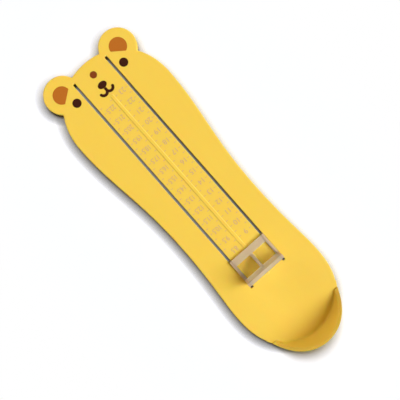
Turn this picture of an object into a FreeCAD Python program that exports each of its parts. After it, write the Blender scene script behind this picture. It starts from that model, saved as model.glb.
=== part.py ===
import FreeCAD, Part
import math
import os

import Sketcher
from FreeCAD import Vector

# A child's foot gauge: a one-piece moulded foot plate with a bear's head at the toe end and a heel cup
# at the other, and a clear slider that runs in two long slots. Lengths are in millimetres. Each piece
# is drawn with Y as the length along the foot, zero at the inner foot of the heel cup, and the
# placement of every piece then moves the middle of the gauge to the origin. Z is up from the table.

SIZES = (
    ("plate_top", 6.0, "height of the foot plate over the table"),
    ("skin", 2.4, "thickness of the foot plate"),
    ("skirt", 2.0, "thickness of the skirt under the plate's edge"),
    ("edge_round", 0.9, "radius along the plate's top edge"),
    ("notch_round", 1.2, "radius in the corners between ear and head"),
    ("heel_seat", 36.0, "radius of the heel cup's inner foot"),
    ("heel_wall", 2.4, "thickness of the heel wall at its foot"),
    ("heel_height", 25.0, "height of the heel wall over the plate"),
    ("heel_lean", 4.2, "how far the heel wall leans out at the rim"),
    ("rim_wall", 1.5, "thickness of the heel wall at the rim"),
    ("heel_foot_round", 1.2, "radius where the heel wall meets the plate"),
    ("rim_end", 1.6, "height of the heel wall's blunt ends over the plate"),
    ("wall_root", 1.6, "depth of the heel wall's root in the plate's edge"),
    ("wall_reach", 14.4, "length at which the heel wall has come down to the plate"),
    ("heel_wide", 39.7, "half width across the heel"),
    ("heel_wide_at", 45.9, "length at the widest point of the heel"),
    ("waist", 36.25, "half width at the waist"),
    ("heel_to_waist", 67.4, "length from the heel's widest point to the waist"),
    ("ball", 44.6, "half width across the ball of the foot"),
    ("waist_to_ball", 105.6, "length from the waist to the ball"),
    ("ball_to_top", 46.6, "length from the ball to the top of the head"),
    ("ear_size", 14.8, "radius of an ear"),
    ("ear_side", 27.45, "distance of an ear's centre from the middle"),
    ("ear_below", 7.2, "distance of the ears' centres below the head's top"),
    ("slot_side", 15.75, "distance of a slot's centre from the middle"),
    ("slot_width", 2.0, "width of a slot"),
    ("slot_start", 56.0, "length at the slots' heel ends"),
    ("slot_below", 6.6, "distance of the slots' toe ends below the head's top"),
    ("slot_round", 0.35, "radius along the slots' top edges"),
    ("ridge_width", 2.6, "width of the low ridge along the middle"),
    ("ridge_height", 0.5, "height of the low ridge"),
    ("ridge_below", 31.5, "distance of the ridge's toe end below the head's top"),
    ("ridge_round", 0.3, "radius along the ridge's top edges"),
    ("rib_wall", 1.6, "thickness of a stiffening rib under the plate"),
    ("rib_lift", 0.8, "height of the ribs' lower edges over the table"),
    ("rib_near", 21.6, "distance of the inner long ribs from the middle"),
    ("rib_far", 30.4, "distance of the outer long ribs from the middle"),
    ("rib_start", 36.0, "length at the long ribs' heel ends"),
    ("rib_end_below", 32.0, "distance of the long ribs' toe ends below the head's top"),
    ("slider_at", 60.0, "length at the slider's stop face"),
    ("slider_half", 16.65, "half width of the slider"),
    ("slider_length", 21.7, "length of the slider along the scale"),
    ("stop_height", 20.6, "height of the stop wall over the plate"),
    ("stop_wall", 2.9, "thickness of the stop wall at its top"),
    ("stop_draft", 1.1, "how much thicker the stop wall is at its foot"),
    ("band_width", 5.7, "width of the slider's toe band"),
    ("band_thickness", 1.8, "thickness of the slider's bars"),
    ("side_bar", 2.4, "width of a side bar"),
    ("middle_bar", 2.5, "width of the middle bar"),
    ("gusset_height", 19.0, "height over the plate of the gusset that stiffens the stop wall"),
    ("gusset_wall", 1.6, "thickness of the gusset"),
    ("slider_round", 0.4, "radius along the stop wall's top edges"),
    ("leg_wall", 1.6, "thickness of a leg in its slot"),
    ("leg_inset", 0.5, "how far the legs stop short of the slider's ends"),
    ("hook_reach", 0.7, "how far a leg's hook stands out"),
    ("hook_height", 1.2, "height of a hook"),
    ("keeper_half", 18.7, "half width of the keeper plate"),
    ("keeper_frame", 1.4, "width of the keeper beyond the legs at each end"),
    ("keeper_thickness", 1.4, "thickness of the keeper plate"),
    ("keeper_gap", 0.25, "clearance round a leg in the keeper"),
    ("running_gap", 0.3, "running clearance of the slider over, under and beside the plate"),
    ("ink", 0.12, "thickness of the printed marks"),
    ("patch_size", 6.9, "radius of an ear's inner patch"),
    ("patch_cut", 3.8, "distance of the patch's straight side from its centre"),
    ("patch_out", 0.55, "how far a patch's centre lies out from its ear's"),
    ("patch_up", 0.2, "how far a patch's centre lies above its ear's"),
    ("patch_round", 0.8, "radius of a patch's corners"),
    ("brow_size", 2.75, "radius of the spot on the brow"),
    ("brow_below", 11.0, "distance of the spot on the brow below the head's top"),
    ("eye_size", 3.45, "radius of an eye"),
    ("eye_side", 23.3, "distance of an eye from the middle"),
    ("eye_below", 18.9, "distance of the eyes below the head's top"),
    ("nose_half", 3.75, "half width of the nose"),
    ("nose_rise", 2.7, "half height of the nose"),
    ("nose_below", 21.1, "distance of the nose below the head's top"),
    ("lip_line", 1.1, "half thickness of the mouth's line"),
    ("lip_bend", 2.9, "radius of each half of the mouth"),
    ("lip_below", 26.4, "distance of the mouth's joint below the head's top"),
    ("centimetre", 10.0, "distance between the scale's whole readings"),
    ("scale_zero", 1.3, "length at the scale's zero"),
    ("tick_line", 0.4, "thickness of a scale mark"),
    ("tick_length", 1.7, "length of a scale mark"),
    ("marks_outer", 12.45, "distance of the outer scale marks from the middle"),
    ("marks_inner", 2.7, "distance of the inner scale marks from the middle"),
)

# Shares of a stretch of the outline that its two curve handles take.
HEEL_SIDE = (0.36, 0.36)
HEEL_TO_WAIST = (0.225, 0.53)
WAIST_TO_BALL = (0.458, 0.354)
CROWN = (0.62, 0.56)
RIM_FOOT = (0.83, 0.06)  # handles of the falling rim at its foot and its top, as shares of its reach and height
RIM_PEAK = (0.09, 0.73)
ROUND_HANDLE = 0.55  # share of a corner's radius at which a curve's handles make it round
HEEL_ARC_HALF = 60.0  # degrees of the round heel on each side of the middle
WALL_HALF = 64.0  # degrees of the heel wall's root on each side of the middle
PATCH_TURN = 36.9  # degrees from straight down to the way an ear patch's straight side faces
LIP_HALF = 75.0  # degrees of each half of the mouth on each side of its lowest point
SCALE_FIRST = 9  # the scale's first mark and its length, in centimetres
SCALE_LENGTH = 14
WHOLES = 14  # steps of a column with a mark at each centimetre, and at each half
HALVES = 28
RUNG_COUNT = 5
CUT_MARGIN = 12.0  # how far a cutting outline goes past what it cuts
TOUCH = 1e-4  # what counts as the same place


class Dim:
    """A length that knows its value and the formula that gives it from the sheet."""

    def __init__(self, value, formula):
        self.value = value
        self.formula = formula

    @staticmethod
    def of(other):
        """A Dim as it is, or a plain number as a Dim."""
        return other if isinstance(other, Dim) else Dim(float(other), repr(float(other)))

    def __add__(self, other):
        other = Dim.of(other)
        return Dim(self.value + other.value, f"({self.formula} + {other.formula})")

    def __sub__(self, other):
        other = Dim.of(other)
        return Dim(self.value - other.value, f"({self.formula} - {other.formula})")

    def __mul__(self, other):
        other = Dim.of(other)
        return Dim(self.value * other.value, f"({self.formula} * {other.formula})")

    def __truediv__(self, other):
        other = Dim.of(other)
        return Dim(self.value / other.value, f"({self.formula} / {other.formula})")

    def __neg__(self):
        return Dim(-self.value, f"(-{self.formula})")

    def __rsub__(self, other):
        return Dim.of(other) - self

    __radd__ = __add__
    __rmul__ = __mul__


ZERO = Dim.of(0)


class Sheet:
    """The document's sheet of sizes. sheet.plate_top is a Dim."""

    def __init__(self, doc):
        cells = doc.addObject("Spreadsheet::Sheet", "sizes")
        for row, (name, value, note) in enumerate(SIZES, start=1):
            cells.set(f"A{row}", note)
            cells.set(f"B{row}", str(value))
            cells.setAlias(f"B{row}", name)
        doc.recompute()
        for name, _value, _note in SIZES:
            setattr(self, name, Dim(float(getattr(cells, name)), f"sizes.{name}"))
        self.waist_at = self.heel_wide_at + self.heel_to_waist
        self.ball_at = self.waist_at + self.waist_to_ball
        self.head_top = self.ball_at + self.ball_to_top
        self.ear_at = self.head_top - self.ear_below
        self.slot_end = self.head_top - self.slot_below
        self.under_skin = self.plate_top - self.skin
        self.rim_top = self.plate_top + self.heel_height
        self.ridge_top = self.plate_top + self.ridge_height
        self.bar_foot = self.ridge_top + self.running_gap
        self.bar_top = self.bar_foot + self.band_thickness
        self.keeper_top = self.under_skin - self.running_gap
        self.keeper_foot = self.keeper_top - self.keeper_thickness
        self.slider_end = self.slider_at + self.slider_length
        ear_tip = self.ear_at + self.ear_size
        rim_tip = -(self.heel_lean + self.rim_wall)
        self.middle = (ear_tip + rim_tip) / 2


DOC = FreeCAD.newDocument("foot_gauge")
S = Sheet(DOC)
PIECES = []


def finish_piece(piece, label, along=ZERO):
    """Names the piece, and moves it from its place along the foot to its place about the gauge's middle."""
    piece.Label = label
    piece.setExpression("Placement.Base.y", (along - S.middle).formula)
    PIECES.append(piece)


def new_body(name):
    """A body that takes its name from the piece."""
    return DOC.addObject("PartDesign::Body", name + "_body")


def new_sketch(body, name, role, lift=None, aside=None):
    """A sketch on one of the body's own planes, lifted off it and moved along its first axis."""
    sketch = body.newObject("Sketcher::SketchObject", name)
    plane = next(feature for feature in body.Origin.OriginFeatures if feature.Role == role)
    sketch.AttachmentSupport = [(plane, "")]
    sketch.MapMode = "FlatFace"
    if lift is not None:
        sketch.setExpression("AttachmentOffset.Base.z", lift.formula)
    if aside is not None:
        sketch.setExpression("AttachmentOffset.Base.x", aside.formula)
    return sketch


def tie(sketch, constraint, formula):
    """Adds a constraint and binds it to the sheet."""
    index = sketch.addConstraint(constraint)
    sketch.setExpression(f"Constraints[{index}]", formula)


def tie_point(sketch, geometry, end, place):
    """Ties one end of a curve, or a centre, to its place, a pair of Dims."""
    for kind, along in zip(("DistanceX", "DistanceY"), place):
        tie(sketch, Sketcher.Constraint(kind, -1, 1, geometry, end, along.value), along.formula)


def flat(place):
    """A pair of Dims as a point in the sketch."""
    return Vector(place[0].value, place[1].value, 0)


def trace(sketch, loop):
    """Draws a closed loop. Each step is its start, or its start and the two handles of a curve."""
    first = sketch.GeometryCount
    for step, following in zip(loop, loop[1:] + loop[:1]):
        if len(step) == 2:
            sketch.addGeometry(Part.LineSegment(flat(step), flat(following[:2])))
            continue
        curve = Part.BezierCurve()
        curve.setPoles([flat(step[:2]), step[2], step[3], flat(following[:2])])
        sketch.addGeometry(curve.toBSpline())
    for index, step in enumerate(loop):
        before = first + (index - 1) % len(loop)
        sketch.addConstraint(Sketcher.Constraint("Coincident", before, 2, first + index, 1))
        tie_point(sketch, first + index, 1, step[:2])


def rectangle(sketch, low, high):
    """Draws a rectangle between two opposite corners, each a pair of Dims."""
    trace(sketch, [low, (high[0], low[1]), high, (low[0], high[1])])


def circle(sketch, centre, radius):
    """Draws a circle, tied to its centre and radius."""
    index = sketch.addGeometry(Part.Circle(flat(centre), Vector(0, 0, 1), radius.value))
    tie_point(sketch, index, 3, centre)
    tie(sketch, Sketcher.Constraint("Radius", index, radius.value), radius.formula)


def pad(body, name, sketch, length, both_ways=False):
    """Adds material to the body along the sketch's normal."""
    feature = body.newObject("PartDesign::Pad", name)
    feature.Profile = sketch
    feature.SideType = "Symmetric" if both_ways else "One side"
    feature.setExpression("Length", length.formula)
    DOC.recompute()
    return feature


def pocket(body, name, sketch, length=None, upwards=False, both_ways=False):
    """Takes material from the body, right through it where no length is given."""
    before = body.Shape.Volume
    feature = body.newObject("PartDesign::Pocket", name)
    feature.Profile = sketch
    feature.Reversed = upwards
    feature.SideType = "Symmetric" if both_ways else "One side"
    if length is None:
        feature.Type = "ThroughAll"
    else:
        feature.setExpression("Length", length.formula)
    DOC.recompute()
    if body.Shape.Volume >= before:
        raise RuntimeError(f"{name} takes nothing away")
    return feature


def edges_where(shape, test):
    """The names of the shape's edges that pass a test."""
    return [f"Edge{number}" for number, edge in enumerate(shape.Edges, start=1) if test(edge)]


def round_edges(body, name, test, radius):
    """Rounds the edges of the body's last feature that pass a test."""
    feature = body.newObject("PartDesign::Fillet", name)
    base = feature.BaseFeature
    feature.Base = (base, edges_where(base.Shape, test))
    feature.setExpression("Radius", radius.formula)
    DOC.recompute()
    return feature


def outline(sketch, inset):
    """Draws the plate's outline without its ears, moved in by inset all round."""
    turn = math.radians(HEEL_ARC_HALF)
    radius = S.heel_seat + S.heel_wall - inset
    heel = Part.Circle(Vector(0, S.heel_seat.value, 0), Vector(0, 0, 1), radius.value)
    down = -math.pi / 2
    arc = sketch.addGeometry(Part.ArcOfCircle(heel, down - turn, down + turn))
    tie_point(sketch, arc, 3, (ZERO, S.heel_seat))
    tie(sketch, Sketcher.Constraint("Radius", arc, radius.value), radius.formula)
    for side, arc_end in ((1, 2), (-1, 1)):
        start = (radius * math.sin(turn) * side, S.heel_seat - radius * math.cos(turn))
        knots = [
            (start, Vector(side * math.cos(turn), math.sin(turn), 0)),
            (((S.heel_wide - inset) * side, S.heel_wide_at), Vector(0, 1, 0)),
            (((S.waist - inset) * side, S.waist_at), Vector(0, 1, 0)),
            (((S.ball - inset) * side, S.ball_at), Vector(0, 1, 0)),
            ((ZERO, S.head_top - inset), Vector(-side, 0, 0)),
        ]
        shares = (HEEL_SIDE, HEEL_TO_WAIST, WAIST_TO_BALL, CROWN)
        for (here, leaving), (there, arriving), share in zip(knots, knots[1:], shares):
            span = flat(there) - flat(here)
            reach = abs(span.x) if arriving.x else span.y
            first_handle = flat(here) + leaving * (share[0] * span.y)
            second_handle = flat(there) - arriving * (share[1] * reach)
            curve = Part.BezierCurve()
            curve.setPoles([flat(here), first_handle, second_handle, flat(there)])
            index = sketch.addGeometry(curve.toBSpline())
            before = (arc, arc_end) if here is start else (index - 1, 2)
            sketch.addConstraint(Sketcher.Constraint("Coincident", *before, index, 1))
            tie_point(sketch, index, 2, there)


def ears(sketch, inset):
    """Draws the two round ears, moved in by inset."""
    for side in (1, -1):
        circle(sketch, (S.ear_side * side, S.ear_at), S.ear_size - inset)


def is_upright(edge, height):
    """True for a straight edge that stands up by height and no more."""
    box = edge.BoundBox
    return abs(box.ZLength - height.value) < TOUCH and box.DiagonalLength < height.value + TOUCH


def is_notch(edge):
    """True for an upright edge where an ear leaves the head, and not where its round face closes."""
    spot = edge.CenterOfMass
    from_ear = math.hypot(abs(spot.x) - S.ear_side.value, spot.y - S.ear_at.value)
    on_ear = abs(from_ear - S.ear_size.value) < TOUCH
    return is_upright(edge, S.plate_top) and on_ear and abs(spot.y - S.ear_at.value) > TOUCH


def is_level(edge, height):
    """True for an edge that lies flat at a height."""
    box = edge.BoundBox
    return abs(box.ZMin - height.value) < TOUCH and abs(box.ZMax - height.value) < TOUCH


def is_slot_edge(edge):
    """True for an edge of a slot in the plate's top face."""
    box = edge.BoundBox
    from_slot = abs(abs(box.Center.x) - S.slot_side.value) + box.XLength / 2
    return is_level(edge, S.plate_top) and from_slot < S.slot_width.value / 2 + TOUCH


def base_shell():
    """The moulded foot plate with its ears, heel wall, slots, ridge and ribs."""
    body = new_body("base_shell")
    sketch = new_sketch(body, "plate_outline", "XY_Plane")
    outline(sketch, ZERO)
    pad(body, "plate", sketch, S.plate_top)
    sketch = new_sketch(body, "ear_outlines", "XY_Plane")
    ears(sketch, ZERO)
    pad(body, "ear_pads", sketch, S.plate_top)
    round_edges(body, "notch_rounds", is_notch, S.notch_round)
    round_edges(body, "edge_rounds", lambda edge: is_level(edge, S.plate_top), S.edge_round)
    hollow = S.plate_top - S.skin
    sketch = new_sketch(body, "hollow_outline", "XY_Plane")
    outline(sketch, S.skirt)
    pocket(body, "hollow", sketch, hollow, upwards=True)
    sketch = new_sketch(body, "ear_hollow_outlines", "XY_Plane")
    ears(sketch, S.skirt)
    pocket(body, "ear_hollows", sketch, hollow, upwards=True)
    heel_wall(body)
    stiffen(body)
    sketch = new_sketch(body, "slot_outlines", "XY_Plane", lift=S.ridge_top)
    for side in (1, -1):
        near = S.slot_side * side - S.slot_width / 2
        rectangle(sketch, (near, S.slot_start), (near + S.slot_width, S.slot_end))
    pocket(body, "slots", sketch)
    round_edges(body, "slot_rounds", is_slot_edge, S.slot_round)
    sketch = new_sketch(body, "ridge_outline", "XY_Plane", lift=S.plate_top)
    half = S.ridge_width / 2
    rectangle(sketch, (-half, S.slot_start), (half, S.head_top - S.ridge_below))
    pad(body, "ridge", sketch, S.ridge_height)
    round_edges(body, "ridge_rounds", lambda edge: is_level(edge, S.ridge_top), S.ridge_round)
    finish_piece(body, "base_shell")


def heel_wall(body):
    """Turns the leaning heel wall round the heel's centre, and trims its rim to a falling curve."""
    sketch = new_sketch(body, "wall_section", "YZ_Plane", aside=S.heel_seat)
    seat = -S.heel_seat
    foot = S.heel_foot_round
    bend = foot.value * (1 - ROUND_HANDLE)
    lean_at_foot = S.heel_lean * foot / S.heel_height
    root = S.plate_top - S.wall_root
    corner = Vector(seat.value, S.plate_top.value, 0)
    trace(
        sketch,
        [
            (seat + foot, S.plate_top, corner + Vector(bend, 0, 0), corner + Vector(0, bend, 0)),
            (seat - lean_at_foot, S.plate_top + foot),
            (seat - S.heel_lean, S.rim_top),
            (seat - S.heel_lean - S.rim_wall, S.rim_top),
            (seat - S.heel_wall, root),
            (seat + foot, root),
        ],
    )
    turned = body.newObject("PartDesign::Revolution", "turned_wall")
    turned.Profile = sketch
    turned.ReferenceAxis = (sketch, ["V_Axis"])
    turned.Midplane = True
    turned.Angle = 2 * WALL_HALF
    DOC.recompute()
    sketch = new_sketch(body, "rim_line", "YZ_Plane")
    out = -(S.heel_lean + S.rim_wall)
    above = S.rim_top + CUT_MARGIN
    inward = S.heel_seat + CUT_MARGIN
    low, high = (
        flat((S.wall_reach * along, S.plate_top + S.heel_height * up)) for along, up in (RIM_FOOT, RIM_PEAK)
    )
    trace(
        sketch,
        [
            (S.wall_reach, S.plate_top),
            (S.wall_reach, S.plate_top + S.rim_end, low, high),
            (out, S.rim_top),
            (out - CUT_MARGIN, S.rim_top),
            (out - CUT_MARGIN, above),
            (inward, above),
            (inward, S.plate_top),
        ],
    )
    pocket(body, "rim_trim", sketch, (S.heel_wide + CUT_MARGIN) * 2, both_ways=True)


def stiffen(body):
    """Adds the long ribs and the rungs between them under the plate's skin."""
    height = S.under_skin - S.rib_lift
    stop = S.head_top - S.rib_end_below
    sketch = new_sketch(body, "long_rib_outlines", "XY_Plane", lift=S.rib_lift)
    for side in (1, -1):
        for place in (S.rib_near, S.rib_far):
            near = place * side - S.rib_wall / 2
            rectangle(sketch, (near, S.rib_start), (near + S.rib_wall, stop))
    pad(body, "long_ribs", sketch, height)
    sketch = new_sketch(body, "rung_outlines", "XY_Plane", lift=S.rib_lift)
    step = (stop - S.rib_start - S.rib_wall) / (RUNG_COUNT - 1)
    for side in (1, -1):
        for number in range(RUNG_COUNT):
            low = S.rib_start + step * number
            rectangle(sketch, (S.rib_near * side, low), (S.rib_far * side, low + S.rib_wall))
    pad(body, "rungs", sketch, height)


def slider_frame():
    """The clear slider: stop wall, toe band, bars, gusset, and the legs that run in the slots."""
    body = new_body("slider_frame")
    back = S.slider_at
    stop_top = S.plate_top + S.stop_height
    foot = S.plate_top + S.running_gap
    sketch = new_sketch(body, "stop_section", "YZ_Plane")
    trace(
        sketch,
        [
            (back, S.bar_foot),
            (back + S.stop_wall + S.stop_draft, S.bar_foot),
            (back + S.stop_wall, stop_top),
            (back, stop_top),
        ],
    )
    pad(body, "stop", sketch, S.slider_half * 2, both_ways=True)
    highest = stop_top.value - TOUCH
    round_edges(body, "stop_rounds", lambda edge: edge.BoundBox.ZMin > highest, S.slider_round)
    sketch = new_sketch(body, "band_outline", "XY_Plane", lift=S.bar_foot)
    front = S.slider_end
    rectangle(sketch, (-S.slider_half, front - S.band_width), (S.slider_half, front))
    pad(body, "band", sketch, S.band_thickness)
    bars = (
        ("right_bar", S.slider_half - S.side_bar / 2, S.side_bar, foot),
        ("left_bar", S.side_bar / 2 - S.slider_half, S.side_bar, foot),
        ("middle_bar", ZERO, S.middle_bar, S.bar_foot),
    )
    for name, place, width, low in bars:
        sketch = new_sketch(body, name + "_section", "YZ_Plane", lift=place)
        rectangle(sketch, (back, low), (front, S.bar_top))
        pad(body, name, sketch, width, both_ways=True)
    sketch = new_sketch(body, "gusset_section", "YZ_Plane")
    trace(
        sketch,
        [
            (back + S.stop_wall, S.bar_foot),
            (front - S.band_width, S.bar_foot),
            (front - S.band_width, S.bar_top),
            (back + S.stop_wall, S.plate_top + S.gusset_height),
        ],
    )
    pad(body, "gusset", sketch, S.gusset_wall, both_ways=True)
    sketch = new_sketch(body, "leg_outlines", "XY_Plane", lift=S.keeper_foot - S.hook_height)
    for side in (1, -1):
        near = S.slot_side * side - S.leg_wall / 2
        rectangle(sketch, (near, back + S.leg_inset), (near + S.leg_wall, front - S.leg_inset))
    pad(body, "legs", sketch, S.bar_foot - S.keeper_foot + S.hook_height)
    sketch = new_sketch(body, "hook_outlines", "XY_Plane", lift=S.keeper_foot - S.hook_height)
    middle = (back + front) / 2
    for side in (1, -1):
        near = S.slot_side * side - S.leg_wall / 2 - S.hook_reach
        across = S.leg_wall + S.hook_reach * 2
        length = S.band_width / 2
        rectangle(sketch, (near, middle - length), (near + across, middle + length))
    pad(body, "hooks", sketch, S.hook_height)
    finish_piece(body, "slider_frame")


def slider_keeper():
    """The plate under the skin that the legs' hooks hold, so that the slider can't lift out."""
    body = new_body("slider_keeper")
    start = S.slider_at + S.leg_inset
    stop = S.slider_end - S.leg_inset
    sketch = new_sketch(body, "keeper_outline", "XY_Plane", lift=S.keeper_foot)
    rectangle(sketch, (-S.keeper_half, start - S.keeper_frame), (S.keeper_half, stop + S.keeper_frame))
    half = S.leg_wall / 2 + S.keeper_gap
    for side in (1, -1):
        place = S.slot_side * side
        rectangle(sketch, (place - half, start - S.keeper_gap), (place + half, stop + S.keeper_gap))
    pad(body, "keeper", sketch, S.keeper_thickness)
    finish_piece(body, "slider_keeper")


def disc(name, centre, radius):
    """A round printed mark on the plate's top face."""
    mark = DOC.addObject("Part::Cylinder", name + "_print")
    mark.setExpression("Radius", radius.formula)
    mark.setExpression("Height", S.ink.formula)
    mark.setExpression("Placement.Base.x", centre[0].formula)
    mark.setExpression("Placement.Base.z", S.plate_top.formula)
    finish_piece(mark, name, centre[1])


def ear_patch(name, side):
    """The inner patch of an ear: a round mark with one straight side that faces down and inwards."""
    body = new_body(name)
    sketch = new_sketch(body, name + "_outline", "XY_Plane", lift=S.plate_top)
    centre = ((S.ear_side + S.patch_out) * side, S.ear_at + S.patch_up)
    facing = -math.pi / 2 - side * math.radians(PATCH_TURN)
    opening = math.acos(S.patch_cut.value / S.patch_size.value)
    round_side = Part.Circle(flat(centre), Vector(0, 0, 1), S.patch_size.value)
    arc = sketch.addGeometry(Part.ArcOfCircle(round_side, facing + opening, facing - opening + 2 * math.pi))
    chord = sketch.addGeometry(Part.LineSegment(sketch.getPoint(arc, 2), sketch.getPoint(arc, 1)))
    sketch.addConstraint(Sketcher.Constraint("Coincident", arc, 2, chord, 1))
    sketch.addConstraint(Sketcher.Constraint("Coincident", chord, 2, arc, 1))
    tie_point(sketch, arc, 3, centre)
    tie(sketch, Sketcher.Constraint("Radius", arc, S.patch_size.value), S.patch_size.formula)
    tie(sketch, Sketcher.Constraint("Distance", arc, 3, chord, S.patch_cut.value), S.patch_cut.formula)
    pad(body, name + "_ink", sketch, S.ink)
    round_edges(body, name + "_corners", lambda edge: is_upright(edge, S.ink), S.patch_round)
    finish_piece(body, name)


def nose():
    """The oval printed nose."""
    body = new_body("nose")
    sketch = new_sketch(body, "nose_outline", "XY_Plane", lift=S.plate_top)
    centre = (ZERO, S.head_top - S.nose_below)
    wide = flat(centre) + Vector(S.nose_half.value, 0, 0)
    tall = flat(centre) + Vector(0, S.nose_rise.value, 0)
    oval = sketch.addGeometry(Part.Ellipse(wide, tall, flat(centre)))
    tie_point(sketch, oval, 3, centre)
    pad(body, "nose_ink", sketch, S.ink)
    finish_piece(body, "nose")


def mouth():
    """The printed mouth: a short stem under the nose that parts into two upturned curves."""
    body = new_body("mouth")
    joint = S.head_top - S.lip_below
    across = S.lip_bend * math.sin(math.radians(LIP_HALF))
    rise = S.lip_bend * math.cos(math.radians(LIP_HALF))
    nose_foot = S.head_top - S.nose_below - S.nose_rise
    sketch = new_sketch(body, "stem_outline", "XY_Plane", lift=S.plate_top)
    rectangle(sketch, (-S.lip_line, joint), (S.lip_line, nose_foot - S.ink))
    pad(body, "stem", sketch, S.ink)
    for side, name in ((1, "right"), (-1, "left")):
        sketch = new_sketch(body, name + "_lip_outline", "XY_Plane", lift=S.plate_top)
        bow(sketch, (across * side, joint + rise), S.lip_bend - S.lip_line, S.lip_bend + S.lip_line)
        pad(body, name + "_lip", sketch, S.ink)
        sketch = new_sketch(body, name + "_tip_outline", "XY_Plane", lift=S.plate_top)
        circle(sketch, (across * 2 * side, joint), S.lip_line)
        pad(body, name + "_tip", sketch, S.ink)
    finish_piece(body, "mouth")


def bow(sketch, centre, inner, outer):
    """Draws the lower part of a ring, from one side of its lowest point to the other."""
    down = -math.pi / 2
    turn = math.radians(LIP_HALF)
    arcs = []
    for radius in (inner, outer):
        whole = Part.Circle(flat(centre), Vector(0, 0, 1), radius.value)
        arc = sketch.addGeometry(Part.ArcOfCircle(whole, down - turn, down + turn))
        tie_point(sketch, arc, 3, centre)
        tie(sketch, Sketcher.Constraint("Radius", arc, radius.value), radius.formula)
        for side, end in ((-1, 1), (1, 2)):
            place = centre[0] + radius * (side * math.sin(turn))
            tie(sketch, Sketcher.Constraint("DistanceX", -1, 1, arc, end, place.value), place.formula)
        arcs.append(arc)
    for end in (1, 2):
        tips = [sketch.getPoint(arc, end) for arc in arcs]
        line = sketch.addGeometry(Part.LineSegment(*tips))
        for line_end, arc in zip((1, 2), arcs):
            sketch.addConstraint(Sketcher.Constraint("Coincident", arc, end, line, line_end))


def marks(name, columns):
    """A group of short printed marks: each column is its place across the scale and its spacing."""
    body = new_body(name)
    body.AllowCompound = True
    for number, (place, steps) in enumerate(columns):
        sketch = new_sketch(body, f"{name}_{number}_outline", "XY_Plane", lift=S.plate_top)
        first = S.scale_zero + S.centimetre * SCALE_FIRST
        half = S.tick_length / 2
        rectangle(sketch, (place - half, first - S.tick_line / 2), (place + half, first + S.tick_line / 2))
        mark = pad(body, f"{name}_{number}_mark", sketch, S.ink)
        row = body.newObject("PartDesign::LinearPattern", f"{name}_{number}_row")
        row.Originals = [mark]
        row.Direction = (sketch, ["V_Axis"])
        row.setExpression("Length", (S.centimetre * SCALE_LENGTH).formula)
        row.Occurrences = steps + 1
        body.Tip = row
        DOC.recompute()
    finish_piece(body, name)


def export_pieces():
    """Checks every object of the document, then writes one STEP file for each piece."""
    os.makedirs("parts", exist_ok=True)
    DOC.recompute()
    for thing in DOC.Objects:
        if "Invalid" in thing.State or "Error" in thing.State:
            raise RuntimeError(f"{thing.Name} is {thing.State}")
    for piece in PIECES:
        shape = piece.Shape
        if shape.isNull() or not shape.isValid() or not shape.Solids:
            raise RuntimeError(f"{piece.Label} has no sound shape")
        shape.exportStep(f"parts/{piece.Label}.step")
        print(f"{piece.Label}: {len(shape.Solids)} solids, {shape.Volume:.1f} mm3")


base_shell()
slider_frame()
slider_keeper()
disc("brow_spot", (ZERO, S.head_top - S.brow_below), S.brow_size)
for eye_name, eye_hand in (("eye_left", -1), ("eye_right", 1)):
    disc(eye_name, (S.eye_side * eye_hand, S.head_top - S.eye_below), S.eye_size)
for patch_name, patch_hand in (("ear_patch_left", -1), ("ear_patch_right", 1)):
    ear_patch(patch_name, patch_hand)
nose()
mouth()
marks("reading_marks", ((S.marks_outer, HALVES), (S.marks_inner, HALVES)))
marks("half_marks", ((-S.marks_outer, HALVES), (-S.marks_inner, WHOLES)))
export_pieces()
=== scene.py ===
"""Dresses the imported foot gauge: plastics, printed inks and scale numbers, in a plain studio.

Lengths are in metres unless a name says millimetres. +Y runs from the heel cup to the bear's head.
"""

from __future__ import annotations

import logging
import math
from collections.abc import Mapping
from dataclasses import dataclass
from enum import Enum

import bpy
from mathutils import Euler, Matrix, Vector


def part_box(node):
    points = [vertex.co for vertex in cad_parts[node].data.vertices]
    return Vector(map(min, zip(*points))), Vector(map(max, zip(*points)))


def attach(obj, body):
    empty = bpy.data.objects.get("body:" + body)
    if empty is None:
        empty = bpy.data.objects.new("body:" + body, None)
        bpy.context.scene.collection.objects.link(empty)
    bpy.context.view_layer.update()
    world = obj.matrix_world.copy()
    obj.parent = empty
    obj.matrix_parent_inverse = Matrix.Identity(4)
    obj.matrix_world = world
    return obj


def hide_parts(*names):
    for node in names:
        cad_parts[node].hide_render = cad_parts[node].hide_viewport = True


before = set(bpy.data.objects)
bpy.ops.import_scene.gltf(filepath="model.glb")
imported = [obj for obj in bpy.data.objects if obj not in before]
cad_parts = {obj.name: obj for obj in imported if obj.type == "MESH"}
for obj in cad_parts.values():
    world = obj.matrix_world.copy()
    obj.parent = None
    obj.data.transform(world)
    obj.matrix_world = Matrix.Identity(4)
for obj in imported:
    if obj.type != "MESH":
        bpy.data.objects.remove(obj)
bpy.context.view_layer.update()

LOG = logging.getLogger("foot_gauge")
MM = 0.001

Colour = tuple[float, float, float]

WHITE: Colour = (1.0, 1.0, 1.0)
BLACK: Colour = (0.0, 0.0, 0.0)
PLASTIC_IOR = 1.5


# ------------------------------------------------------------------------------------- nodes


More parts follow.
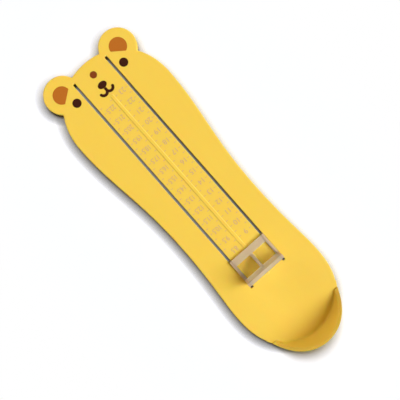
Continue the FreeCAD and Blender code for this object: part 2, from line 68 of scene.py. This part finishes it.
class Wire:
    """A socket of a material's node tree. Arithmetic on it adds Math nodes."""

    def __init__(self, recipe: Recipe, socket: bpy.types.NodeSocket | None) -> None:
        self.recipe = recipe
        self.socket = socket

    def _math(self, operation: str, second: Wire | float) -> Wire:
        """Adds one Math node on this value and another."""
        return self.recipe.node("ShaderNodeMath", {"operation": operation}, {0: self, 1: second})

    def __add__(self, other: Wire | float) -> Wire:
        """The sum."""
        return self._math("ADD", other)

    def __sub__(self, other: Wire | float) -> Wire:
        """The difference."""
        return self._math("SUBTRACT", other)

    def __mul__(self, other: Wire | float) -> Wire:
        """The product."""
        return self._math("MULTIPLY", other)

    def __pow__(self, other: Wire | float) -> Wire:
        """The power."""
        return self._math("POWER", other)

    def __abs__(self) -> Wire:
        """The value without its sign."""
        return self.recipe.node("ShaderNodeMath", {"operation": "ABSOLUTE"}, {0: self})

    def at_least(self, least: float) -> Wire:
        """The value, or the least one where it is lower."""
        return self._math("MAXIMUM", least)

    def clamped(self) -> Wire:
        """The value held between 0 and 1."""
        return self.recipe.node("ShaderNodeClamp", {}, {"Value": self})


class Recipe:
    """The node tree of one material, or of the world."""

    MIX_SOCKETS = (0, 6, 7, 2)  # a colour mix's factor, two colours and result

    def __init__(self, owner: bpy.types.Material | bpy.types.World) -> None:
        owner.use_nodes = True
        self.tree = owner.node_tree
        self.tree.nodes.clear()

    def node(
        self,
        kind: str,
        settings: Mapping[str, object] | None = None,
        sockets: Mapping[str | int, Wire | float | tuple[float, ...]] | None = None,
        output: str | int = 0,
    ) -> Wire:
        """Adds a node.

        Args:
            kind: The node's type.
            settings: Its properties.
            sockets: What each input is set to or linked with.
            output: The output that the returned wire starts from.

        Returns:
            A wire from the output, with no socket where the node has none.
        """
        made = self.tree.nodes.new(kind)
        for name, value in (settings or {}).items():
            setattr(made, name, value)
        for name, value in (sockets or {}).items():
            target = made.inputs[name]
            if isinstance(value, Wire):
                self.tree.links.new(value.socket, target)
            elif isinstance(value, tuple) and target.type == "RGBA":
                target.default_value = (*value, 1.0)
            else:
                target.default_value = value
        return Wire(self, made.outputs[output] if made.outputs else None)

    def place(self) -> Wire:
        """The point on the piece, in metres."""
        return self.node("ShaderNodeTexCoord", output="Object")

    def noise(self, size: float, detail: float = 2.0, roughness: float = 0.5) -> Wire:
        """Makes soft random noise.

        Args:
            size: The width of its blotches.
            detail: How many finer layers it has.
            roughness: How strong the finer layers are.

        Returns:
            The noise, about 0 to 1.
        """
        values = {
            "Vector": self.place(),
            "Scale": 1 / size,
            "Detail": detail,
            "Roughness": roughness,
        }
        return self.node("ShaderNodeTexNoise", {"noise_dimensions": "3D"}, values, "Fac")

    def varied(self, noise: Wire, middle: float, swing: float) -> Wire:
        """A value that noise moves by half its swing to each side of the middle."""
        return noise * swing + (middle - swing / 2)

    def step(self, value: Wire, start: float, end: float) -> Wire:
        """A share that rises smoothly from 0 to 1 between two values."""
        span = {"Value": value, "From Min": start, "From Max": end}
        return self.node("ShaderNodeMapRange", {"interpolation_type": "SMOOTHSTEP"}, span)

    def blend(self, share: Wire, first: Wire | Colour, second: Wire | Colour) -> Wire:
        """Mixes two colours by a share of the second."""
        factor, low, high, mixed = self.MIX_SOCKETS
        colours = {factor: share, low: first, high: second}
        return self.node("ShaderNodeMix", {"data_type": "RGBA"}, colours, mixed)

    def bump(self, height: Wire, depth: float, strength: float, under: Wire | None = None) -> Wire:
        """Makes a relief.

        Args:
            height: Its height, 0 to 1.
            depth: The height that 1 stands for.
            strength: How strongly it shows.
            under: The normal that it stands on, where that isn't the mesh's own.

        Returns:
            The relief's normal.
        """
        values = {"Height": height, "Distance": depth, "Strength": strength}
        if under is not None:
            values["Normal"] = under
        return self.node("ShaderNodeBump", {}, values)

    def surface(self, sockets: Mapping[str, Wire | float | tuple[float, ...]]) -> Wire:
        """Makes a Principled shader."""
        return self.node("ShaderNodeBsdfPrincipled", {}, sockets)

    def matt(self, colour: Colour) -> Wire:
        """Makes a Diffuse shader."""
        return self.node("ShaderNodeBsdfDiffuse", {}, {"Color": colour})

    def mixed(self, share: Wire, first: Wire, second: Wire) -> Wire:
        """Mixes two shaders by a share of the second."""
        return self.node("ShaderNodeMixShader", {}, {0: share, 1: first, 2: second})

    def finish(self, shader: Wire, kind: str = "ShaderNodeOutputMaterial") -> None:
        """Links the shader to the tree's output."""
        self.node(kind, {}, {"Surface": shader})


# ---------------------------------------------------------------------------------- finishes


@dataclass(frozen=True)
class MouldedPlastic:
    """Opaque moulded plastic: a soft sheen, a fine grain, a painted highlight that makes its edges
    paler, and smoother edges.
    """

    name: str
    colour: Colour
    shade: Colour
    # the paler colour painted on edges and on the heel rim as a highlight
    edge_highlight: Colour
    roughness: float = 0.42
    roughness_swing: float = 0.1
    gloss: float = 0.12
    glow: float = 0.4
    glow_depth: float = 1.6 * MM
    glow_reach: Colour = (1.0, 0.42, 0.06)
    drift: float = 70 * MM
    drift_share: float = 0.7
    mottle: float = 9 * MM
    mottle_share: float = 0.3
    tone_from: float = 0.35
    grain: float = 0.35 * MM
    grain_depth: float = 0.012 * MM
    grain_strength: float = 0.6
    edge: float = 0.65 * MM
    edge_samples: int = 6
    smoothed: float = 0.16
    edge_highlight_gain: float = 1.5

    def make(self) -> bpy.types.Material:
        """Builds the material."""
        material = bpy.data.materials.new(self.name)
        recipe = Recipe(material)
        drift = recipe.noise(self.drift, 2.0, 0.45)
        mottle = recipe.noise(self.mottle, 3.0)
        tone = (drift * self.drift_share + mottle * self.mottle_share - self.tone_from).clamped()
        moulded = recipe.blend(tone, self.colour, self.shade)
        samples = {"samples": self.edge_samples}
        rounded = recipe.node("ShaderNodeBevel", samples, {"Radius": self.edge})
        flat = recipe.node("ShaderNodeNewGeometry", output="Normal")
        distance = {"operation": "DISTANCE"}
        turned = recipe.node("ShaderNodeVectorMath", distance, {0: rounded, 1: flat}, "Value")
        # Painted highlight: the base colour turns paler where the rounded normal leans from the
        # flat one, so edges and the rim show a bright line.
        painted_edge_highlight = (turned * self.edge_highlight_gain).clamped()
        rough = recipe.varied(mottle, self.roughness, self.roughness_swing)
        grain = recipe.noise(self.grain)
        bump = recipe.bump(grain, self.grain_depth, self.grain_strength, rounded)
        shader = recipe.surface(
            {
                "Base Color": recipe.blend(painted_edge_highlight, moulded, self.edge_highlight),
                "Roughness": rough - turned.clamped() * self.smoothed,
                "IOR": PLASTIC_IOR,
                "Specular IOR Level": self.gloss,
                "Subsurface Weight": self.glow,
                "Subsurface Scale": self.glow_depth,
                "Subsurface Radius": self.glow_reach,
                "Normal": bump,
            }
        )
        recipe.finish(shader)
        return material


@dataclass(frozen=True)
class FrostedPlastic:
    """Clear plastic with finely frosted faces; in the legs between the yellow walls it turns milky
    and warm, a painted stand-in for the yellow light those walls bounce.

    Its roughness stays over 0.28, because a denoiser draws an outline where it crosses that.
    """

    name: str
    colour: Colour
    milk: Colour
    painted_bounce: Colour
    clear: float = 0.8
    clouded: float = 0.94
    cloud: float = 5 * MM
    roughness: float = 0.36
    roughness_swing: float = 0.14
    milk_roughness: float = 0.7
    grain: float = 0.4 * MM
    grain_depth: float = 0.006 * MM
    grain_strength: float = 0.6
    painted_bounce_from: float = 14.6 * MM
    painted_bounce_to: float = 15.2 * MM
    milk_share: float = 0.04
    painted_bounce_share: float = 0.65

    def make(self) -> bpy.types.Material:
        """Builds the material."""
        material = bpy.data.materials.new(self.name)
        recipe = Recipe(material)
        cloud = recipe.noise(self.cloud, 3.0, 0.55)
        dimmed = tuple(part * self.clouded for part in self.colour)
        grain = recipe.noise(self.grain)
        bump = recipe.bump(grain, self.grain_depth, self.grain_strength)
        clear = recipe.surface(
            {
                "Base Color": recipe.blend(cloud, self.colour, dimmed),
                "Roughness": recipe.varied(cloud, self.roughness, self.roughness_swing),
                "IOR": PLASTIC_IOR,
                "Transmission Weight": self.clear,
                "Normal": bump,
            }
        )
        # Painted bounce light: past 14.6 mm from the middle, in the legs between the yellow slot
        # walls, a warm colour is painted into the milky part for the yellow light those walls
        # bounce.
        aside = abs(recipe.node("ShaderNodeSeparateXYZ", {}, {0: recipe.place()}, "X"))
        bounce_zone = recipe.step(aside, self.painted_bounce_from, self.painted_bounce_to)
        milk = recipe.surface(
            {
                "Base Color": recipe.blend(bounce_zone, self.milk, self.painted_bounce),
                "Roughness": self.milk_roughness,
                "Specular IOR Level": 0.0,
                "Normal": bump,
            }
        )
        share = bounce_zone * (self.painted_bounce_share - self.milk_share) + self.milk_share
        recipe.finish(recipe.mixed(share, clear, milk))
        return material


@dataclass(frozen=True)
class PrintedInk:
    """Pad-printed ink: even colour, faintly mottled where the pad lifted."""

    name: str
    colour: Colour
    thin: Colour
    roughness: float = 0.5
    roughness_swing: float = 0.14
    gloss: float = 0.05
    cover: float = 1.6 * MM
    cover_share: float = 0.8
    specks: float = 0.25 * MM
    speck_share: float = 0.4
    speck_depth: float = 0.01 * MM
    speck_strength: float = 0.5
    thin_from: float = 0.3

    def make(self) -> bpy.types.Material:
        """Builds the material."""
        material = bpy.data.materials.new(self.name)
        recipe = Recipe(material)
        cover = recipe.noise(self.cover, 4.0, 0.6)
        specks = recipe.noise(self.specks)
        bump = recipe.bump(specks, self.speck_depth, self.speck_strength)
        thinned = (cover * self.cover_share + specks * self.speck_share - self.thin_from).clamped()
        shader = recipe.surface(
            {
                "Base Color": recipe.blend(thinned, self.colour, self.thin),
                "Roughness": recipe.varied(cover, self.roughness, self.roughness_swing),
                "Specular IOR Level": self.gloss,
                "Normal": bump,
            }
        )
        recipe.finish(shader)
        return material


def dress(piece: bpy.types.Object, finish: bpy.types.Material) -> None:
    """Gives the whole piece one material."""
    piece.data.materials.clear()
    piece.data.materials.append(finish)
    for face in piece.data.polygons:
        face.material_index = 0


# --------------------------------------------------------------------------------- modelling


def deselect() -> None:
    """Leaves edit mode and deselects every object."""
    if bpy.context.object is not None and bpy.context.object.mode != "OBJECT":
        bpy.ops.object.mode_set(mode="OBJECT")
    bpy.ops.object.select_all(action="DESELECT")


def pick(*pieces: bpy.types.Object) -> None:
    """Selects these objects alone and makes the first the active one."""
    deselect()
    for piece in pieces:
        piece.select_set(True)
    bpy.context.view_layer.objects.active = pieces[0]


def tidy_mesh(piece: bpy.types.Object, reach: float = 0.001 * MM) -> None:
    """Merges a piece's doubles and points its faces outwards."""
    pick(piece)
    bpy.ops.object.mode_set(mode="EDIT")
    bpy.ops.mesh.select_all(action="SELECT")
    bpy.ops.mesh.remove_doubles(threshold=reach)
    bpy.ops.mesh.normals_make_consistent(inside=False)
    bpy.ops.object.mode_set(mode="OBJECT")


# ------------------------------------------------------------------------------------ pieces


@dataclass
class FootPlate:
    """The yellow moulding and what is printed on its bear's face."""

    # The third colour is the paler one painted on the moulding's edges as a highlight.
    shell: MouldedPlastic = MouldedPlastic(
        "shell_yellow_plastic", (0.92, 0.66, 0.103), (0.9, 0.635, 0.09), (0.96, 0.79, 0.2)
    )
    brown: PrintedInk = PrintedInk("face_ink_print", (0.04, 0.0095, 0.005), (0.052, 0.014, 0.007))
    tan: PrintedInk = PrintedInk("ear_ink_print", (0.485, 0.148, 0.018), (0.525, 0.17, 0.024))
    russet: PrintedInk = PrintedInk("brow_ink_print", (0.22, 0.05, 0.0115), (0.245, 0.06, 0.0155))

    def build(self) -> None:
        """Dresses the base body's moulding and prints."""
        brown, tan = self.brown.make(), self.tan.make()
        finishes = {
            "base_shell": self.shell.make(),
            "brow_spot": self.russet.make(),
            "eye_left": brown,
            "eye_right": brown,
            "nose": brown,
            "mouth": brown,
            "ear_patch_left": tan,
            "ear_patch_right": tan,
        }
        for name, finish in finishes.items():
            dress(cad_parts[name], finish)
            LOG.info("dressed %s with %s", name, finish.name)


class Column(Enum):
    """The two columns of numbers: whole centimetres on one side of the ridge, halves beyond it."""

    WHOLE = "reading_numbers"
    HALF = "half_numbers"


@dataclass(frozen=True)
class Setting:
    """How a column of numbers is set.

    The figures and the point have their own pitches, and the width is against the natural one.
    """

    across: float
    first: float
    decimals: int
    pitch: float
    point: float
    width: float

    def advance(self, glyph: str) -> float:
        """The room that one figure or point takes along its line."""
        return self.point if glyph == "." else self.pitch


@dataclass
class ScalePrint:
    """The printed marks and their numbers."""

    ink: PrintedInk = PrintedInk("scale_ink_print", (0.7, 0.445, 0.27), (0.74, 0.47, 0.27))
    whole: Setting = Setting(
        across=8.3 * MM, first=9.0, decimals=0, pitch=2.8 * MM, point=0.0, width=1.0
    )
    half: Setting = Setting(
        across=-7.0 * MM, first=8.5, decimals=1, pitch=2.25 * MM, point=0.9 * MM, width=0.82
    )
    first_mark: float = 9.0
    mark_line: float = 0.4 * MM
    count: int = 15
    height: float = 4.0 * MM
    thickness: float = 0.12 * MM
    glyph_share: float = 0.7
    curve_steps: int = 4

    def build(self) -> None:
        """Dresses the marks and prints both columns of numbers."""
        ink = self.ink.make()
        for name in ("reading_marks", "half_marks"):
            dress(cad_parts[name], ink)
            LOG.info("dressed %s", name)
        for column, setting in ((Column.WHOLE, self.whole), (Column.HALF, self.half)):
            piece = self._column(column, setting)
            dress(piece, ink)
            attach(piece, "base")
            LOG.info("printed %s with %d faces", piece.name, len(piece.data.polygons))

    def _column(self, column: Column, setting: Setting) -> bpy.types.Object:
        """Prints one column of numbers as one mesh."""
        low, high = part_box("reading_marks")
        centimetre = (high.y - low.y - self.mark_line) / (self.count - 1)
        labels = []
        for step in range(self.count):
            reading = setting.first + step
            along = low.y + self.mark_line / 2 + (reading - self.first_mark) * centimetre
            place = Vector((setting.across, along, low.z + self.thickness / 2))
            labels.append(self._label(f"{reading:.{setting.decimals}f}", setting, place))
        pick(*labels)
        bpy.ops.object.join()
        piece = bpy.context.object
        piece.name = piece.data.name = column.value
        tidy_mesh(piece)
        return piece

    def _label(self, words: str, setting: Setting, place: Vector) -> bpy.types.Object:
        """Prints one number, upright for someone who looks from the toe end.

        Args:
            words: Its digits.
            setting: How its column is set.
            place: The number's middle.

        Returns:
            The number as a mesh.
        """
        start = -sum(setting.advance(glyph) for glyph in words) / 2
        glyphs = []
        for glyph in words:
            advance = setting.advance(glyph)
            glyphs.append(self._glyph(glyph, start + advance / 2, setting.width))
            start += advance
        pick(*glyphs)
        if len(glyphs) > 1:
            bpy.ops.object.join()
        label = bpy.context.object
        half_turn = Euler((0, 0, math.pi)).to_matrix().to_4x4()
        label.data.transform(Matrix.Translation(place) @ half_turn)
        return label

    def _glyph(self, glyph: str, across: float, width: float) -> bpy.types.Object:
        """Makes one digit or point as a thin mesh.

        Args:
            glyph: The digit or point.
            across: The place of its middle, left to right.
            width: Its width against the natural one.

        Returns:
            The mesh, standing centred on the line of the number's middle.
        """
        deselect()
        bpy.ops.object.text_add(location=(0, 0, 0))
        letter = bpy.context.object
        letter.data.body = glyph
        letter.data.size = self.height / self.glyph_share
        letter.data.extrude = self.thickness / 2
        letter.data.resolution_u = self.curve_steps
        letter.data.align_x = "CENTER"
        bpy.ops.object.convert(target="MESH")
        letter = bpy.context.object
        place = Matrix.Translation((across, -self.height / 2, 0))
        letter.data.transform(place @ Matrix.Diagonal((width, 1, 1, 1)))
        return letter


@dataclass
class Slider:
    """The clear slider, its keeper and the soft edges of its moulding."""

    # The last colour is the warm one painted into the legs for the yellow light bounced by the slot
    # walls.
    plastic: FrostedPlastic = FrostedPlastic(
        "slider_clear_plastic", (0.86, 0.82, 0.78), (0.6, 0.5, 0.36), (0.77, 0.55, 0.36)
    )
    soft: float = 0.3 * MM
    soft_steps: int = 3
    sharp: float = math.radians(40)
    flat: float = math.radians(1)
    sliver: float = 0.15 * MM

    def build(self) -> None:
        """Rounds the edges of the slider's mouldings and dresses them."""
        plastic = self.plastic.make()
        names = {"slider_frame": "slider_moulding", "slider_keeper": "keeper_moulding"}
        for node, name in names.items():
            piece = self._rounded(node, name)
            dress(piece, plastic)
            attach(piece, "slider")
            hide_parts(node)
            LOG.info("rounded %s with %d faces", name, len(piece.data.polygons))

    def _rounded(self, node: str, name: str) -> bpy.types.Object:
        """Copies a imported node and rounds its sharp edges.

        Slivers along its edges are merged first, because they would hold the rounding to nothing.

        Args:
            node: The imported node's name.
            name: The new piece's name.

        Returns:
            The new piece.
        """
        piece = bpy.data.objects.new(name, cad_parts[node].data.copy())
        bpy.context.scene.collection.objects.link(piece)
        tidy_mesh(piece)
        bpy.ops.object.mode_set(mode="EDIT")
        bpy.ops.mesh.select_all(action="SELECT")
        bpy.ops.mesh.dissolve_limited(angle_limit=self.flat)
        bpy.ops.mesh.remove_doubles(threshold=self.sliver)
        bpy.ops.mesh.dissolve_limited(angle_limit=self.flat)
        bpy.ops.object.mode_set(mode="OBJECT")
        rounding = piece.modifiers.new("soft_edges", "BEVEL")
        rounding.width = self.soft
        rounding.segments = self.soft_steps
        rounding.limit_method = "ANGLE"
        rounding.angle_limit = self.sharp
        bpy.ops.object.modifier_apply(modifier=rounding.name)
        bpy.ops.object.shade_smooth_by_angle(angle=self.sharp)
        shading = piece.modifiers.new("flat_faces", "WEIGHTED_NORMAL")
        shading.keep_sharp = True
        bpy.ops.object.modifier_apply(modifier=shading.name)
        return piece


# ------------------------------------------------------------------------------------ studio


def direction(azimuth: float, zenith: float) -> Vector:
    """The unit vector at an angle round Z from +X and an angle down from +Z."""
    level = math.sin(zenith)
    return Vector((level * math.cos(azimuth), level * math.sin(azimuth), math.cos(zenith)))


class FloorLink(Enum):
    """What a lamp's light does with the floor."""

    LEFT_OUT = "EXCLUDE"
    ALONE = "INCLUDE"


@dataclass(frozen=True)
class Lamp:
    """A broad soft lamp, so far off that its light falls evenly.

    Its strength is in watts per square metre, and its angles are in degrees: round Z from +X, down
    from +Z, and across its disc.
    """

    name: str
    azimuth: float
    zenith: float
    strength: float
    spread: float
    colour: Colour = WHITE
    floor: FloorLink = FloorLink.LEFT_OUT

    def hang(self, floor: bpy.types.Object) -> None:
        """Makes the lamp and keeps its light off the floor, or to the floor alone."""
        deselect()
        way = direction(math.radians(self.azimuth), math.radians(self.zenith))
        facing = way.to_track_quat("Z", "Y").to_euler()
        bpy.ops.object.light_add(type="SUN", location=way, rotation=facing)
        lamp = bpy.context.object
        lamp.name = self.name
        lamp.data.energy = self.strength
        lamp.data.angle = math.radians(self.spread)
        lamp.data.color = self.colour
        group = bpy.data.collections.new(lamp.name + "_group")
        group.objects.link(floor)
        group.collection_objects[0].light_linking.link_state = self.floor.value
        lamp.light_linking.receiver_collection = group


@dataclass
class Studio:
    """The floor, the lamps and the camera."""

    camera_at: tuple[float, float, float] = (-2.02 * MM, -2.35 * MM, 0.606)
    camera_turn: float = math.radians(-41.36)
    lens: float = 72.09
    clip_start: float = 0.01
    floor_half: float = 4.0
    floor_drop: float = 0.05 * MM
    floor_gain: Colour = (1.03, 1.04, 1.1)
    floor_pale: float = 0.75
    fade_spread: tuple[float, float, float] = (0.085, 0.17, 1.0)
    fade: tuple[float, float] = (1.0, 1.8)
    corner_reach: float = 8.0 * MM
    corner_depth: float = 2.1
    corner_least: float = 0.2
    corner_samples: int = 8
    corner_turn: float = math.radians(38)
    corner_lean: float = math.radians(35)
    key: Lamp = Lamp("key", azimuth=-44, zenith=41, strength=3.15, spread=42)
    bounce: Lamp = Lamp(
        "bounce", azimuth=115, zenith=76, strength=0.95, spread=30, colour=(1.0, 0.88, 0.75)
    )
    sky: Lamp = Lamp("sky", azimuth=0, zenith=0, strength=0.47, spread=130, colour=(1.0, 0.66, 0.1))
    floor_lamp: Lamp = Lamp(
        "floor_lamp", azimuth=65, zenith=21, strength=3.1, spread=21, floor=FloorLink.ALONE
    )
    fill: float = 0.04
    seen_by: tuple[str, str, str] = ("Camera", "Glossy", "Transmission")

    def build(self) -> None:
        """Builds the whole studio."""
        self._camera()
        floor = self._floor()
        for lamp in (self.key, self.bounce, self.sky, self.floor_lamp):
            lamp.hang(floor)
            LOG.info("hung %s", lamp.name)
        self._world()
        bpy.context.scene.view_settings.view_transform = "Standard"
        LOG.info("studio is ready")

    def _camera(self) -> None:
        """Places the camera over the gauge, looking straight down."""
        deselect()
        bpy.ops.object.camera_add(location=self.camera_at, rotation=(0, 0, self.camera_turn))
        camera = bpy.context.object
        camera.name = "camera"
        camera.data.lens = self.lens
        camera.data.clip_start = self.clip_start
        bpy.context.scene.camera = camera

    def _floor(self) -> bpy.types.Object:
        """Lays a plain pale floor."""
        deselect()
        bpy.ops.mesh.primitive_plane_add(size=2 * self.floor_half, location=(0, 0, 0))
        floor = bpy.context.object
        floor.name = "floor"
        floor.data.transform(Matrix.Translation((0, 0, -self.floor_drop)))
        dress(floor, self._floor_look())
        return floor

    def _floor_look(self) -> bpy.types.Material:
        """Makes the floor's material: white to the camera, with the lamps' shadow and a painted
        shade.
        """
        material = bpy.data.materials.new("floor_pale")
        recipe = Recipe(material)
        # Painted shade: the floor's colour is mixed towards black where an occlusion test leaned to
        # one side finds the gauge close by.
        dark, lit = recipe.matt(BLACK), recipe.matt(self.floor_gain)
        shaded = recipe.mixed(self._painted_corner_shade(recipe), dark, lit)
        white = recipe.node("ShaderNodeEmission", {}, {"Color": WHITE, "Strength": 1.0})
        shown = recipe.mixed(self._far_off(recipe), shaded, white)
        pale = recipe.matt((self.floor_pale,) * 3)
        recipe.finish(recipe.mixed(self._seen(recipe), pale, shown))
        return material

    def _far_off(self, recipe: Recipe) -> Wire:
        """A share that rises from 0 near the gauge to 1 away from it."""
        spread = {0: recipe.place(), 1: self.fade_spread}
        share = recipe.node("ShaderNodeVectorMath", {"operation": "DIVIDE"}, spread)
        away = recipe.node("ShaderNodeVectorMath", {"operation": "LENGTH"}, {0: share}, "Value")
        return recipe.step(away, *self.fade)

    def _painted_corner_shade(self, recipe: Recipe) -> Wire:
        """Painted shade: a share of the floor's lit colour, less in the corner at the gauge's foot.
        """
        way = dict(zip("XYZ", direction(self.corner_turn, self.corner_lean)))
        normal = recipe.node("ShaderNodeCombineXYZ", {}, way)
        reach = {"Distance": self.corner_reach, "Normal": normal}
        samples = {"samples": self.corner_samples}
        open_sky = recipe.node("ShaderNodeAmbientOcclusion", samples, reach, "AO")
        return (open_sky**self.corner_depth).at_least(self.corner_least)

    def _seen(self, recipe: Recipe) -> Wire:
        """1 for a ray that the camera, a gloss or a clear piece looks along, and otherwise 0."""
        camera, gloss, clear = (
            recipe.node("ShaderNodeLightPath", output=f"Is {kind} Ray") for kind in self.seen_by
        )
        return (camera + gloss + clear).clamped()

    def _world(self) -> None:
        """Fills the shadows faintly, and shows white behind the floor."""
        world = bpy.data.worlds.new("studio")
        bpy.context.scene.world = world
        recipe = Recipe(world)
        strength = self._seen(recipe) * (1 - self.fill) + self.fill
        glow = recipe.node("ShaderNodeBackground", {}, {"Color": WHITE, "Strength": strength})
        recipe.finish(glow, "ShaderNodeOutputWorld")


def main() -> None:
    """Builds every piece in order."""
    logging.basicConfig(level=logging.INFO, format="%(name)s: %(message)s")
    for part in (FootPlate(), ScalePrint(), Slider(), Studio()):
        part.build()


if __name__ == "__main__":
    main()
